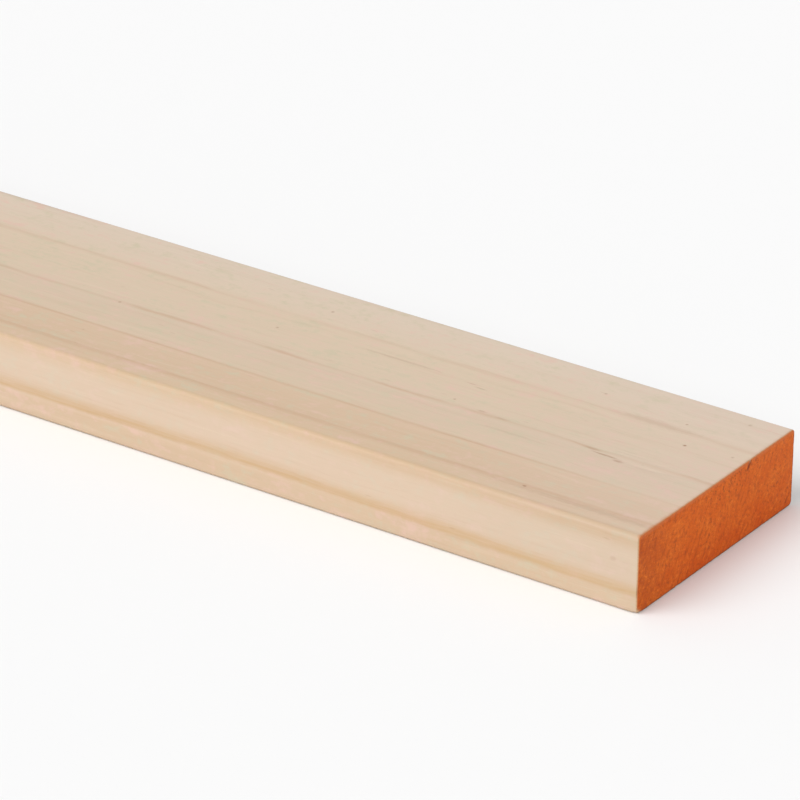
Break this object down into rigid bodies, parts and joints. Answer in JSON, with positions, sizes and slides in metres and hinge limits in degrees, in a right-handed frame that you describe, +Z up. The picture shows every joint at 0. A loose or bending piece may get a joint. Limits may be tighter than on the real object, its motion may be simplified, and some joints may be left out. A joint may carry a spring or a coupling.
{
  "type": "softwood plank",
  "caption": "Straight planed softwood plank with eased long edges and square saw-cut ends, one end coated with orange sealing paint. It lies on its wide face.",
  "frame": {"origin": "middle of the underside, on the floor that the plank lies on", "axes": "+X along the plank towards its painted end, +Y across the wide face, +Z up through the thickness"},
  "size_m": [1.8, 0.12, 0.035],
  "materials": {
    "planed_pine": "bare planed pine, with orange sealing paint on the saw cut at +X"
  },
  "bodies": {
    "root": {"plank": "planed_pine"}
  },
  "joints": []
}
